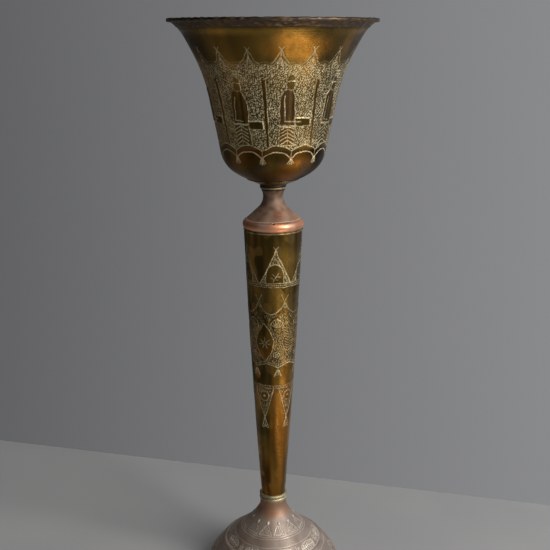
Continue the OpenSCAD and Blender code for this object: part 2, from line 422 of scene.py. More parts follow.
def cup_edges(art, swag, top_edge, arch, low_edge):
    """The garland with its peaks and crosses, and the double scallops with a fan at each cusp."""
    z = art.z
    above = z > GARLAND_Z - 7
    art.cut(np.abs(z - top_edge), 0.6, shine=0.4, where=above)
    art.cut(np.abs(z - top_edge - 2.2), 0.5, 0.08, 0.25, where=above & (swag > 0.3))
    peak = art.across(*PEAKS)
    art.pair(peak, [(-2.3, 583.6), (2.6, 577.0)], 0.65, shine=0.75)
    art.pair(peak, [(2.6, 577.0), (5.6, 571.4), (9.0, 568.4)], 0.6, shine=0.7)
    art.pair(peak, [(0, 575.5), (2.4, 568.5), (3.0, 563.5)], 0.55, shine=0.6)
    art.line(peak, [(0, 579.0), (0, 571.5)], 0.6, shine=0.8)
    lower_edge = 478.0 + 6.8 * arch
    cusp = art.across(*SCALLOPS)
    art.cut(np.abs(z - low_edge), 0.9, where=(z > 480) & (z < 496))
    art.cut(np.abs(z - lower_edge), 0.9, where=(z > 474) & (z < 490))
    art.line(cusp, [(0, 485.4), (0, 478.2)], 0.6, shine=0.7)
    for k in np.linspace(-1, 1, 4):
        end = (2.6 * k, 478.4 - 6.6 * (1 - 0.18 * abs(k)))
        art.line(cusp, [(0.65 * k, 478.4), end], 0.6)


def cup_lip(art):
    """The hammered band under the lip, with a dark step below it painted as a shadow line, and a
    dark edge of painted shade.
    """
    z, r = art.z, art.r
    lip = ramp(z, 601.2, 601.7) * (r > 92)
    art.lift += 0.35 * lip
    long_dents = curl((art.p[0] * 0.45, art.p[1] * 0.45, z), 3.4, 3)
    art.lift += lip * 0.2 * long_dents
    art.at_least("dull", lip * np.clip(0.85 + 0.25 * curl(art.p, 9.0, 4), 0, 1))
    art.at_least("bright", lip * ramp(long_dents, 0.5, 1.3) * 0.14)
    art.at_least("grime_and_shade", 0.22 * lip * (1 - art.bright))
    # painted shadow: a dark line under the raised hammered band
    step = ramp(z, 598.2, 601.0) * (1 - ramp(z, 601.4, 601.9)) * (r > 88)
    art.at_least("grime_and_shade", 0.55 * step)
    # painted shade: the rolled top edge of the lip is darkened
    art.at_least("grime_and_shade", 0.8 * ramp(z, 608.3, 609.2))


def cup_stains(art, inside):
    """Tarnish on the plain flare and bottom, with a warm patch on the flare that is a painted
    reflection of the lit floor.
    """
    z = art.z
    art.lumps(1 - inside, 26.0, 0.10, 6)
    flare = ramp(z, 564, 574) * (1 - ramp(z, 592, 598)) * (1 - inside)
    # painted reflection: a warm patch on the flare where it reflects the lit floor in front
    lighter_patch = 1 - ramp(np.hypot(art.theta_near(17) * art.r / 44, (z - 584) / 14), 0.5, 1.1)
    art.at_least("warm", flare * 0.4 * lighter_patch)
    stain = np.clip(0.37 + 0.17 * curl(art.p, 60.0, 258), 0, 1) * (1 - 0.1 * lighter_patch)
    art.at_least("grime_and_shade", flare * stain)
    bottom = (1 - ramp(z, 484, 491)) * (1 - inside)
    stain = 0.65 + 0.24 * curl(art.p, 30.0, 376) + 0.12 * np.sin(art.theta)
    art.at_least("grime_and_shade", bottom * np.clip(stain, 0, 1) * (1 - art.bright))
    haze = np.clip(0.5 * curl(art.p, 22.0, 17), 0, 1)
    art.at_least("dull", bottom * haze * (1 - art.bright))
    art.at_least("warm", bottom * np.clip(0.4 + 0.5 * curl(art.p, 40.0, 434), 0, 1))


def cup_relief(art):
    """Figures between a garland and scallops, under a plain flare and a hammered lip."""
    art.by_hand(0.35)
    arch = 1 - (1 - art.share(*SCALLOPS)) ** 2          # 0 at a cusp of the scallops
    low_edge = SCALLOP_Z + 5.6 * arch
    swag = art.share(*PEAKS)                            # 0 at a peak of the garland
    top_edge = GARLAND_Z + 8.0 * np.clip(1 - swag * 1.9, 0, 1) ** 1.35 + 1.2 * swag ** 3
    inside = ramp(art.z - low_edge, 0.2, 1.2) * ramp(top_edge - art.z, -0.6, 1.4)
    cup_field(art, inside)
    cup_edges(art, swag, top_edge, arch, low_edge)
    cup_lip(art)
    cup_stains(art, inside)


def stem_triangles(art):
    """Five tall triangles on a beaded line, each with a plain arch and a sprig in it."""
    z, u = art.z, art.across(*TRIANGLES)
    half = 17.8 * np.clip((TRIANGLE_TIP - z) / 37, 0, 1) ** 1.1
    here = (z > TRIANGLE_BASE) & (z < TRIANGLE_TIP - 1)
    inside = ramp(half - np.abs(u), -0.2, 0.5) * here
    arch = np.hypot(u + 1.0, np.maximum(z - 354, 0) * 0.8)
    art.matting(inside * ramp(arch, 9.4, 10.2), 1.9, shine=0.55)
    art.cut(np.abs(arch - 9.6), 0.8, shine=0.8, where=(inside > 0.3) & (z < 368))
    edge = np.abs(np.abs(u) - half)
    art.cut(edge, 0.85, shine=0.9, where=(z > 345) & (z < TRIANGLE_TIP - 0.5))
    art.cut(np.abs(np.abs(u) - half + 3.2), 0.6, shine=0.6, where=(inside > 0.3) & (arch > 9.8))
    art.pair(u, [(2.4, 384.6), (-1.4, 379.0)], 0.6, shine=0.8)
    art.line(u, [(-2.6, 347.4), (-0.6, 351.6), (2.6, 356.4)], 0.6, shine=0.7)
    for root, tip in (
        ((-1.6, 349.6), (-5.2, 351.8)), ((-0.4, 351.8), (-3.4, 355.6)),
        ((-1.4, 350.0), (2.4, 349.4)), ((0.2, 352.8), (4.2, 352.6)),
    ):
        art.line(u, [root, tip], 0.6, shine=0.6)
    art.cut(np.hypot(art.across(*LINE_BEADS), z - 343.4), 1.3, 0.3, 0.7)
    for level in (345.5, 341.3):
        art.cut(np.abs(z - level), 0.6, shine=0.7)


def stem_net(art):
    """Tents with crosses on top, over large and small almonds, fan leaves and flowers."""
    z = art.z
    tent, leaf_u, cusp = (art.across(*motif) for motif in (TENTS, FAN_LEAVES, NET_CUSPS))
    top = NET_TOP + 12 * (1 - art.share(*TENTS)) ** 1.9
    low = NET_LOW + 5.4 * art.share(*NET_CUSPS) ** 0.6
    inside = ramp(top - z, 0, 1) * ramp(z - low, 0, 1)
    art.matting(inside, 1.9, shine=0.4)
    art.pair(tent, [(-4.2, 332.6), (0, 325.2), (3.4, 319.5)], 0.65, shine=0.6)
    # ribbons of plain metal that hang from the tents
    for side, reach in ((-1, 17.5), (1, 9.5)):
        path = [(0.5 * side, 317), (0.42 * reach * side, 309), (reach * side, 302)]
        inside_ribbon = 1 - ramp(to_line(tent, z, path), 0.9, 1.5)
        art.plain(inside_ribbon * (inside > 0.2), 0.14, 0.35)
        art.at_least("warm", inside_ribbon * 0.25)
    # the almonds, each with a double outline
    large, small = art.across(*LARGE_ALMONDS), art.across(*SMALL_ALMONDS)
    for u, wide, tall, middle in ((large, 10.2, 22, ALMOND_Z), (small, 5.8, 16, ALMOND_Z + 0.5)):
        up = (z - middle) / tall
        edge = wide * np.clip(1 - np.abs(up) ** 1.7, 0, 1)
        gap = np.abs(u) - edge
        here = (np.abs(up) < 1) & (np.abs(u) < wide + 3)
        art.plain(ramp(-gap, 0.1, 0.9) * here, 0.2, 0.5)
        art.at_least("warm", 0.6 * here * (gap < 0) * ramp(-up, -0.2, 0.7))
        art.cut(np.abs(gap), 0.7, shine=0.7, where=here)
        art.cut(np.abs(gap - 2.6), 0.6, shine=0.45, where=here & (np.abs(up) < 0.8))
    flower(art, large, ALMOND_Z - 0.5, 6.6, 7, turn=0.0)
    for level in np.arange(269.5, 291, 3.0):
        art.pair(small, [(0.3, level), (3.6, level + 2.4)], 0.7, shine=0.7)
    # the fan leaves under the tents, and the round flowers near the lower edge
    leaf = np.hypot(leaf_u / 6.6, (z - 298.5) / 7.5)
    is_leaf = (1 - ramp(leaf, 0.88, 1.0)) * (z > 295.5)
    art.plain(is_leaf, 0.1, 0.3)
    art.cut(np.abs(leaf - 0.97) * 6, 0.7, shine=0.8, where=z > 295.5)
    for k in (-5.6, -3.8, -1.9, 0, 1.9, 3.8, 5.6):
        art.line(leaf_u, [(0.45 * k, 297.4), (k, 304.6 - 0.13 * k * k)], 0.5, shine=0.75)
    art.plain(1 - ramp(np.hypot(leaf_u, z - ROSETTE_Z), 4.2, 5.0), 0.1, 0.3)
    for turn in np.radians(np.arange(5) * 72 + 18):
        petal = np.hypot(leaf_u - 2.3 * np.sin(turn), z - ROSETTE_Z - 2.3 * np.cos(turn))
        art.cut(np.abs(petal - 1.4), 0.6, shine=0.8)
    art.cut(np.abs(z - top), 0.7, shine=0.8, where=z > 306)
    art.cut(np.abs(z - low), 0.8, shine=0.9, where=z < 262)
    art.cut(np.abs(z - low - 2.6), 0.6, shine=0.7, where=z < 264)
    art.pair(cusp, [(0.8, 248.6), (3.6, 241.2)], 0.8)
    art.pair(cusp, [(0.3, 247.6), (1.2, 242.4)], 0.6, shine=0.7)


def stem_pendants(art):
    """Five hanging triangles under a line, each with a bud in it and a knot at its tip."""
    z, u = art.z, art.across(*PENDANTS)
    half = 10.2 * np.clip((z - PENDANT_TIP) / 31, 0, 1) ** 0.85
    here = (z > PENDANT_TIP + 0.5) & (z < PENDANT_TOP)
    inside = ramp(half - np.abs(u), -0.2, 0.5) * here
    bud = np.hypot(u - 0.4, (z - 217.5) * 0.9)
    art.matting(inside, 1.9, shine=0.38)
    art.plain(inside * (1 - ramp(bud, 4.2, 4.9)), 0.08, 0.4)
    art.cut(np.abs(bud - 4.9), 0.7, shine=0.7, where=inside)
    art.cut(bud, 2.2, 0.2, 0.8)
    art.cut(np.abs(np.abs(u) - half), 0.8, shine=0.75, where=here)
    art.cut(np.abs(np.abs(u) - half + 2.8), 0.6, shine=0.4, where=(inside > 0.3) & (z < 213))
    art.pair(u, [(-0.6, 194.5), (2.5, 183.4)], 0.85)
    for middle in (-2.3, 2.3):
        art.line(u, arc((middle, 181.2), 1.5, 0, 330, 9), 0.7, shine=0.9)
    art.line(u, [(0, 186), (0, 180)], 0.6, shine=0.7)
    for level in (229.8, 226.9):
        art.cut(np.abs(z - level), 0.6, shine=0.65)
    art.cut(np.hypot(art.across(*PENDANT_BEADS), z - 228.3), 1.1, 0.2, 0.7)


def stem_relief(art):
    """Three chased bands, then tarnish that is darker above, warm below and streaked down, and
    painted light: lighter on the right and darker on the upper left.
    """
    art.by_hand(0.3)
    z = art.z
    art.lumps(1.0, 30.0, 0.07, 8)
    stem_triangles(art)
    stem_net(art)
    stem_pendants(art)
    art.bright *= 0.66 + 0.34 * ramp(curl(art.p, 2.4, 40), -0.6, 0.4)
    streaks, stains = (curl((art.p[0], art.p[1], z * 0.12), 13.0, k) for k in (19, 24))
    art.at_least("dull", np.clip(0.3 * stains - 0.05, 0, 0.35) * (1 - art.bright))
    low_part = 1 - ramp(z, 170, 330)
    art.at_least("warm", np.clip(0.95 * low_part * ramp(streaks, -0.6, 0.6), 0, 1))
    dark = 0.3 + 0.3 * ramp(z, 150, 380) + 0.25 * curl(art.p, 46.0, 438)
    dark += 0.22 * curl((art.p[0], art.p[1], z * 0.1), 7.0, 29)
    # painted light: the right side is made lighter, where the light falls, and the left darker
    # higher up
    side = np.sin(art.theta)
    dark -= 0.16 * np.where(side > 0, side, side * ramp(z, 280, 370))
    art.at_least("grime_and_shade", np.clip(dark, 0, 0.8) * (1 - art.bright))
    lighter_patch = ramp(curl((art.p[0], art.p[1], z * 0.8), 15.0, 32), 0.35, 0.75)
    art.grime_and_shade *= 1 - 0.65 * lighter_patch


def foot_petals(art):
    """Petals round the neck, each with a knob at its tip, and the rings outside them."""
    r, u = art.r, art.across(*PETALS)
    half = 7.0 * np.clip((r - PETAL_ROOT) / 8.0, 0, 1) ** 0.55
    here = (r > PETAL_ROOT) & (r < PETAL_END)
    art.matting(ramp(half - np.abs(u), -0.2, 0.5) * here, 1.6, 0.4, 0.25)
    art.cut(np.abs(np.abs(u) - half), 0.7, shine=0.55, where=here)
    art.cut(np.abs(r - 32.4 - 0.012 * u * u), 0.7, shine=0.55, where=np.abs(u) < 7.2)
    knob = np.hypot(u, r - 23.2)
    art.raised(knob, 1.4, 0.7)
    art.at_least("bright", 0.7 * (1 - ramp(knob, 1.0, 1.5)))
    for level in (34.1, 36.0, 43.2):
        art.cut(np.abs(r - level), 0.8, 0.3, 0.3)


def foot_leaves(art):
    """Hatched leaves with small buds between them, and the raised ridge outside."""
    r, u = art.r, art.across(*LEAVES)
    leaf = np.hypot(u / 10.5, (r - LEAF_R) / 4.3)
    art.matting(1 - ramp(leaf, 0.9, 1.0), 1.7, 0.6, 0.3, 0.24)
    art.cut(np.abs(leaf - 0.98) * 4.3, 0.7, shine=0.55)
    art.line(u, [(-9.8, 49.4), (0, 48.4), (9.8, 49.4)], 0.8, v=r)
    for place in np.arange(-7.5, 7.6, 3.0):
        for side in (-1, 1):
            art.line(u, [(place, 48.8), (place + 1.6, 48.8 + 2.7 * side)], 0.7, v=r)
    bud_u = art.across(*BUDS)
    bud = np.hypot(bud_u / 3.4, (r - LEAF_R) / 3.6)
    art.matting(1 - ramp(bud, 0.85, 1.0), 1.7, 0.4, 0.25)
    flower(art, bud_u, LEAF_R, 3.8, 6, v=r)
    art.raised(np.abs(r - RIDGE_R), 1.9, 1.1)
    for level in (52.9, 58.3):
        art.cut(np.abs(r - level), 0.8, 0.25, 0.35)


def foot_bows(art):
    """The outer band's bows, standing on two rings."""
    r, u = art.r, art.across(*BOWS)
    bow = np.hypot(u / 9.5, (r - 71.5) / 8.5)
    outer = (r > 60) & (r < BOW_END)
    art.matting((1 - ramp(bow, 0.9, 1.0)) * outer, 1.8, 0.4, 0.25)
    art.cut(np.abs(bow - 0.97) * 8.5, 0.7, shine=0.5, where=outer)
    art.plain((1 - ramp(bow, 0.42, 0.5)) * outer, 0.06, 0.2)
    for level in (72.4, 74.6):
        art.cut(np.abs(r - level), 0.8, 0.25, 0.4)


def foot_relief(art):
    """Three rings of motifs on a dome that is duller on one side and red at its neck, with painted
    light on its sides and painted shade at its neck.
    """
    art.by_hand(0.3)
    foot_petals(art)
    foot_leaves(art)
    foot_bows(art)
    art.lumps(1.0, 24.0, 0.12, 9)
    art.lift *= ramp(art.z, 1.0, 4.0)
    neck = 1 - ramp(art.r, 16.0, 22.0)
    art.at_least("warm", neck * np.clip(0.75 + 0.35 * curl(art.p, 18.0, 27), 0, 1))
    # partly painted light: besides random tarnish, the right side is dulled darker and the left
    # kept bright, evening out the light from the right
    side = np.sin(art.theta)
    tarnish = 0.2 + 0.3 * curl(art.p, 30.0, 28) + 0.75 * side
    art.dull = np.clip(tarnish, 0, 0.95) * (1 - art.bright) * (1 - 0.6 * neck)
    # painted shade: the plain ring is darkened on its left side, away from the light
    plain_ring = (art.r > 36.8) & (art.r < 42.4)
    art.at_least("grime_and_shade", plain_ring * np.clip(0.08 - 0.08 * side, 0, 1))
    # painted shadow: the neck is darkened where the stem's ring shades it
    art.at_least("grime_and_shade", neck * 0.38)


def turned_relief(depth, pitch, seed, dirt=0.0, pale=0.0):
    """The slight unevenness of a piece turned and worn by hand, grimy or worn pale."""

    def relief(art):
        art.lumps(1.0, pitch, depth, seed)
        art.grime_and_shade = np.clip(dirt + (0.18 + 0.4 * dirt) * curl(art.p, 7.0, seed + 1), 0, 1)
        art.bright += pale

    return relief


def cone_relief(art):
    """The dull lacquer left on the shoulder, and its slight unevenness."""
    art.lumps(1.0, 11.0, 0.06, 23)
    art.dull = np.clip(0.45 + 0.25 * curl(art.p, 16.0, 24), 0, 0.9)
    throat = ramp(art.z, cone_high - 26, cone_high - 12)
    under_collar = ramp(art.z, cone_high - 11, cone_high - 4)
    stain = 0.15 * curl(art.p, 7.0, 25) + 0.4 * throat + 0.25 * under_collar
    art.grime_and_shade = np.clip(stain, 0, 1)
    art.at_least("dull", 0.8 * throat)
    art.warm = np.clip(0.15 + 0.3 * curl(art.p, 20.0, 34), 0, 1) * (1 - throat)


def collar_relief(art):
    """A dark plain band over a bead with a pale line painted round its middle as a highlight."""
    art.lumps(1.0, 6.0, 0.03, 41)
    bead = 1 - ramp(art.z, collar_low + bead_h - 0.3, collar_low + bead_h + 0.1)
    outer = art.r > collar_r - 2.6
    # painted highlight: a pale line round the middle of the bead
    art.bright = 0.42 * bead * outer * (1 - ramp(np.abs(art.z - collar_low - 1.2), 0.7, 1.3))
    art.dull = 0.6 + 0.3 * (1 - bead)
    art.grime_and_shade = 0.45 * (1 - bead) + 0.25 * bead * (1 - art.bright)


def band_relief(art):
    """The shoulder band's pale top edge, its dents, and the pit at its front."""
    top_edge = (1 - ramp(art.r, cone_r + 0.5, cone_r + 1.5)) * (art.z > band_mid[1])
    art.bright = 0.9 * top_edge
    art.warm = np.clip(0.45 + 0.5 * curl(art.p, 24.0, 26), 0, 1)
    pit = np.hypot(art.theta_near(1.0) * art.r, art.z - 409.0)
    art.lift -= 0.7 * (1 - ramp(pit, 0.3, 1.3))
    art.at_least("grime_and_shade", 1 - ramp(pit, 0.7, 1.6))
    art.lumps(1.0, 13.0, 0.05, 15)


# ---- materials


def add(tree, kind, values=None, **settings):
    """A node with its settings, and each input linked to a socket or set to a value."""
    node = tree.nodes.new(kind)
    for key, value in settings.items():
        setattr(node, key, value)
    for key, value in (values or {}).items():
        if isinstance(value, bpy.types.NodeSocket):
            tree.links.new(value, node.inputs[key])
        else:
            node.inputs[key].default_value = value
    return node


def mix(tree, factor, a, b):
    """One colour socket between two colours or sockets."""
    node = tree.nodes.new("ShaderNodeMix")
    node.data_type = "RGBA"
    for index, value in ((0, factor), (6, a), (7, b)):
        if isinstance(value, bpy.types.NodeSocket):
            tree.links.new(value, node.inputs[index])
        elif index == 0:
            node.inputs[index].default_value = value
        else:
            node.inputs[index].default_value = (*value, 1)
    return node.outputs[2]


def calc(tree, operation, a, b):
    """One number socket from two numbers or sockets."""
    return add(tree, "ShaderNodeMath", {0: a, 1: b}, operation=operation).outputs[0]


def span(tree, value, low, high, out_low=0.0, out_high=1.0, way="SMOOTHSTEP"):
    """One range of a value turned into another."""
    limits = {"From Min": low, "From Max": high, "To Min": out_low, "To Max": out_high}
    node = add(tree, "ShaderNodeMapRange", {"Value": value, **limits}, interpolation_type=way)
    return node.outputs[0]


def noise(tree, place, scale, detail, stretch=None):
    """Noise from 0 to 1 at the piece's own coordinates, which stretch scales."""
    if stretch:
        place = add(tree, "ShaderNodeMapping", {"Vector": place, "Scale": stretch}).outputs[0]
    values = {"Vector": place, "Scale": scale, "Detail": detail}
    return add(tree, "ShaderNodeTexNoise", values).outputs["Fac"]


def bumps(tree, *layers):
    """One normal from layers of height, strength and distance in metres."""
    below = {}
    for height, strength, distance in layers:
        values = {"Height": height, "Strength": strength, "Distance": distance, **below}
        below = {"Normal": add(tree, "ShaderNodeBump", values).outputs[0]}
    return below["Normal"]


def new_material(name):
    """A material, its tree, its shader and the piece's own coordinates."""
    material = bpy.data.materials.new(name)
    material.use_nodes = True
    tree = material.node_tree
    place = add(tree, "ShaderNodeTexCoord").outputs["Object"]
    return material, tree, tree.nodes["Principled BSDF"].inputs, place


CUT_ROUGH = 0.55


def metal(name, dark, middle, light, cut_tone, warm_tone, dull_tone, rough, solid=1.0):
    """Worn metal: clouds of tarnish, lathe lines, bright cuts, dirt in the recesses and painted
    shade.
    """
    material, tree, shader, place = new_material(name)
    clouds = noise(tree, place, 16, 4)
    spots = noise(tree, place, 85, 5)
    streaks = noise(tree, place, 30, 4, (1, 1, 0.16))
    grain = noise(tree, place, 900, 2)
    bright, grime_and_shade, dull, warm = (
        add(tree, "ShaderNodeAttribute", attribute_name=tone).outputs["Fac"] for tone in TONES
    )
    base = mix(tree, span(tree, clouds, 0.34, 0.66), dark, middle)
    base = mix(tree, span(tree, streaks, 0.42, 0.78), base, light)
    base = mix(tree, warm, base, warm_tone)
    base = mix(tree, span(tree, spots, 0.60, 0.78, 0, 0.45), base, dark)
    base = mix(tree, dull, base, dull_tone)
    # darker with dirt and with painted shade, which share one tone
    base = mix(tree, grime_and_shade, base, tuple(0.22 * c for c in dark))
    base = mix(tree, bright, base, cut_tone)
    tree.links.new(base, shader["Base Color"])
    tree.links.new(span(tree, bright, 0.0, 1.0, solid, 0.4), shader["Metallic"])
    roughness = span(tree, spots, 0.3, 0.75, rough - 0.06, rough + 0.14)
    stained = calc(tree, "MAXIMUM", grime_and_shade, dull)
    for tone, change in ((bright, CUT_ROUGH - rough), (stained, 0.25), (warm, -0.05)):
        roughness = calc(tree, "ADD", roughness, calc(tree, "MULTIPLY", tone, change))
    tree.links.new(roughness, shader["Roughness"])
    waves = {"Vector": place, "Scale": 230.0, "Distortion": 1.6, "Detail": 2.0}
    lathe_lines = add(tree, "ShaderNodeTexWave", waves, bands_direction="Z").outputs["Fac"]
    layers = (lathe_lines, 0.25, 0.0001), (grain, 0.35, 0.0001), (spots, 0.25, 0.0008)
    tree.links.new(bumps(tree, *layers), shader["Normal"])
    return material


def leather(name):
    """Dark leather with a fine grain."""
    material, tree, shader, place = new_material(name)
    grain = noise(tree, place, 700, 4)
    base = mix(tree, span(tree, grain, 0.35, 0.65), (0.012, 0.008, 0.006), (0.05, 0.03, 0.02))
    tree.links.new(base, shader["Base Color"])
    shader["Roughness"].default_value = 0.75
    tree.links.new(bumps(tree, (grain, 0.6, 0.0004)), shader["Normal"])
    return material


BRASS = metal(
    "patinated_brass_worn", rough=0.27,
    dark=(0.085, 0.059, 0.015), middle=(0.27, 0.16, 0.035), light=(0.54, 0.27, 0.05),
    cut_tone=(0.84, 0.73, 0.46), warm_tone=(0.44, 0.18, 0.028), dull_tone=(0.13, 0.095, 0.08),
)
BRIGHT = metal(
    "bright_brass_worn", rough=0.36,
    dark=(0.36, 0.27, 0.12), middle=(0.62, 0.50, 0.27), light=(0.84, 0.74, 0.48),
    cut_tone=(0.9, 0.85, 0.6), warm_tone=(0.70, 0.45, 0.18), dull_tone=(0.30, 0.25, 0.16),
)
COPPER = metal(
    "aged_copper_worn", rough=0.55, solid=0.7,
    dark=(0.35, 0.26, 0.20), middle=(0.54, 0.42, 0.34), light=(0.64, 0.53, 0.45),
    cut_tone=(0.86, 0.80, 0.68), warm_tone=(0.60, 0.29, 0.15), dull_tone=(0.34, 0.28, 0.25),
)
RED_COPPER = metal(
    "polished_copper_worn", rough=0.45, solid=0.85,
    dark=(0.36, 0.19, 0.12), middle=(0.70, 0.43, 0.30), light=(0.82, 0.58, 0.43),
    cut_tone=(0.88, 0.74, 0.58), warm_tone=(0.80, 0.36, 0.20), dull_tone=(0.44, 0.31, 0.23),
)
STEEL = metal(
    "steel_worn", rough=0.38,
    dark=(0.16, 0.15, 0.14), middle=(0.36, 0.35, 0.34), light=(0.5, 0.5, 0.5),
    cut_tone=(0.6, 0.6, 0.6), warm_tone=(0.30, 0.20, 0.13), dull_tone=(0.10, 0.09, 0.08),
)
LEATHER = leather("leather_worn")
SLOTS = {
    "patinated_brass": BRASS, "bright_brass": BRIGHT, "aged_copper": COPPER,
    "steel": STEEL, "leather": LEATHER,
}


def assign(piece, body, slot, *nodes, finish=None):
    """Gives a piece its finish, or else its slot's material, puts it under its body and hides the
    CAD nodes it replaces.
    """
    piece.data.materials.append(finish or SLOTS[slot])
    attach(piece, body)
    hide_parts(*nodes)


# ---- the stand

GRID = 1.0
CUP_T, STEM_T, COPPER_T, FIT = 0.8, 0.9, 1.0, 0.05      # sheet thicknesses, and a fit's gap


def around(count):
    return int(count * GRID)


def fine(low, high, close, wide):
    """A spacing that is close between two heights and wide elsewhere."""
    close = close / GRID
    return lambda z: close if low < z < high else wide


_, foot_high, foot_r = node_mm("foot_dome")
foot_path = trace(
    (foot_r - 0.8, 4, -18),
    [("bend", 67.5, -49.2), ("rise", 22.4), ("bend", 65, -27.7), ("bend", 14, 0)],
)
neck_r = foot_path[-1, 0]
foot_path = np.vstack([foot_path, [(neck_r, foot_high, 0)]])
rim = soften([(foot_r - 6, 0), (foot_r, 0), (foot_r, 4.4)], 0.4)
outside = thin_out(np.vstack([rim[1:], foot_path[2:, :2]]), fine(0, 78, 0.5, 1.5))
inside = thin_out(inner(foot_path, COPPER_T), 2.5)
back = [(foot_r - 1, 3.4), (foot_r - 1, 1.2), (foot_r - 1.4, 1.0), (foot_r - 6, 1.0)]
section = np.vstack([outside, inside[:-1], back])
foot = revolve("foot_dome_chased", section, around(560), foot_relief, len(outside), sharp=60)
assign(foot, "stand", "aged_copper", "foot_dome")

stem_low, stem_high, _ = node_mm("stem_tube")
STEM_R, LOW_SLOPE, HIGH_SLOPE = 12.7, 4.24, 2.44
straightens = math.sin(math.radians(LOW_SLOPE)) - math.sin(math.radians(HIGH_SLOPE))
stem_bend = (stem_high - stem_low) / straightens
stem_path = trace((STEM_R, stem_low, LOW_SLOPE), [("bend", stem_bend, HIGH_SLOPE)])
outside = thin_out(stem_path, fine(176, 388, 0.5, 2.0))
inside = thin_out(inner(stem_path, STEM_T), 6.0)
inside[0, 1], inside[-1, 1] = stem_high, stem_low
section = np.vstack([outside, inside])
stem = revolve("stem_tube_chased", section, around(384), stem_relief, len(outside), sharp=60)
assign(stem, "stand", "patinated_brass", "stem_tube")

ring_low, ring_high, ring_r = node_mm("stem_ring")
BEAD = 2.1
bead_mid = ring_r - BEAD
profile = np.vstack(
    [
        arc((bead_mid, ring_low + BEAD), BEAD, -90, 80, 14),
        arc((bead_mid, ring_high - BEAD), BEAD, -80, 90, 14),
        [(bead_mid - 0.05, ring_high), (bead_mid - 0.05, stem_low), (neck_r + FIT, stem_low),
         (neck_r + FIT, ring_low)],
    ]
)
ring = revolve("stem_ring_beaded", profile, 160, turned_relief(0.06, 6.0, 21, 0.25, 0.4))
assign(ring, "stand", "bright_brass", "stem_ring")

cap_low, cap_high, cap_r = node_mm("stem_cap_disc")
CAP_BORE_R = 4.2
cap_edge = arc((cap_r - 1, (cap_low + cap_high) / 2), 1.0, -90, 90, 12)
profile = np.vstack([[(CAP_BORE_R, cap_low)], cap_edge, [(CAP_BORE_R, cap_high)]])
cap = revolve("stem_cap_disc_turned", profile, 160, turned_relief(0.04, 8.0, 22, 0.5))
assign(cap, "stand", "bright_brass", "stem_cap_disc")

band_high = node_mm("shoulder_band")[1]
cone_low, cone_high, cone_r = node_mm("shoulder_cone")
BAND_BEAD = 6.0
band_mid = (cone_r - 1.4, cap_high + 4.8)
profile = arc(band_mid, BAND_BEAD, -90, 90, 120)
profile = profile[(profile[:, 0] > cone_r + FIT) & (profile[:, 1] > cap_high)]
profile = np.vstack([profile, [(cone_r + FIT, band_high), (cone_r + FIT, cap_high)]])
band = revolve("shoulder_band_rolled", profile, 256, band_relief, sharp=50)
assign(band, "stand", "aged_copper", "shoulder_band", finish=RED_COPPER)

SKIRT_H = 11
skirt = trace((cone_r, cone_low, 0), [("rise", SKIRT_H)])
shoulder = trace(
    (cone_r, cone_low + SKIRT_H, -47), [("rise", 11), ("bend", 16, 0), ("bend", 12.5, 32)]
)
cone_path = np.vstack([skirt, shoulder])
outside = thin_out(cone_path, 0.5)
inside = thin_out(inner(cone_path, COPPER_T), 1.5)
inside[0, 1], inside[-1, 1] = cone_high, cone_low
cone = revolve("shoulder_cone_spun", np.vstack([outside, inside]), 192, cone_relief, sharp=50)
assign(cone, "stand", "aged_copper", "shoulder_cone", finish=RED_COPPER)

# ---- the clamp and the rod

PITCH, THREAD_DEPTH = 2.0, 0.55
CORE_R = 0.02    # both ends of a rod close to this radius


def threaded(name, r, low, high, spans, head=None):
    """A rod with a screw thread along the given heights, and a head's outline if it has one."""
    heights = np.arange(low + 0.4, high - 0.3, 0.25)
    side = np.column_stack([np.full(len(heights), r), heights])
    top = head or [(r - 0.5, high), (CORE_R, high)]
    profile = np.vstack([[(CORE_R, low), (r - 0.6, low)], side, top])

    def relief(art):
        """A V thread with grime in its roots."""
        wave = np.abs(((art.z / PITCH - art.theta / (2 * math.pi)) % 1) - 0.5) * 2
        for first, last in spans:
            on = ramp(art.z, first, first + 1) * (1 - ramp(art.z, last - 1, last))
            on = on * (np.abs(art.r - r) < 0.01)
            art.lift -= THREAD_DEPTH * wave * on
            art.at_least("grime_and_shade", 0.6 * wave * on)

    return revolve(name, profile, 72, relief, sharp=60)


def nut(name, node, bore_r):
    """A hexagonal nut whose corners are turned down at both ends."""
    low, high, _ = node_mm(node)
    front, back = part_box(node)
    flat_r = (back.y - front.y) / 2 / MM
    ends = 1.1
    profile = np.array(
        [(bore_r + 0.5, low), (flat_r - 0.2, low), (flat_r, low + 0.2), (flat_r, low + ends),
         (flat_r, high - ends), (flat_r, high - 0.2), (flat_r - 0.2, high),
         (bore_r + 0.5, high), (bore_r, high - 0.5), (bore_r, low + 0.5)]
    )

    def relief(art):
        """Six flats, by raising the corners between them."""
        sixth = math.pi / 3
        turn = (art.theta - math.pi / 2 + sixth / 2) % sixth - sixth / 2
        corner = flat_r / np.cos(turn) - flat_r
        from_end = np.minimum(art.z - low, high - art.z)
        reach = np.minimum(corner, np.maximum(from_end, 0) * 1.7)
        art.lift += np.where(art.r > flat_r - 0.05, reach, 0)

    return revolve(name, profile, 96, relief, sharp=30)


def washer(name, node, body, slot, bore_r, cut=0.3, relief=None):
    """A disc with a bore and softened edges."""
    low, high, r = node_mm(node)
    corners = [(bore_r, low), (r, low), (r, high), (bore_r, high)]
    piece = revolve(
        name, rounded(corners, cut, 0.8), 128, relief or turned_relief(0.05, 7.0, 31)
    )
    assign(piece, body, slot, node)


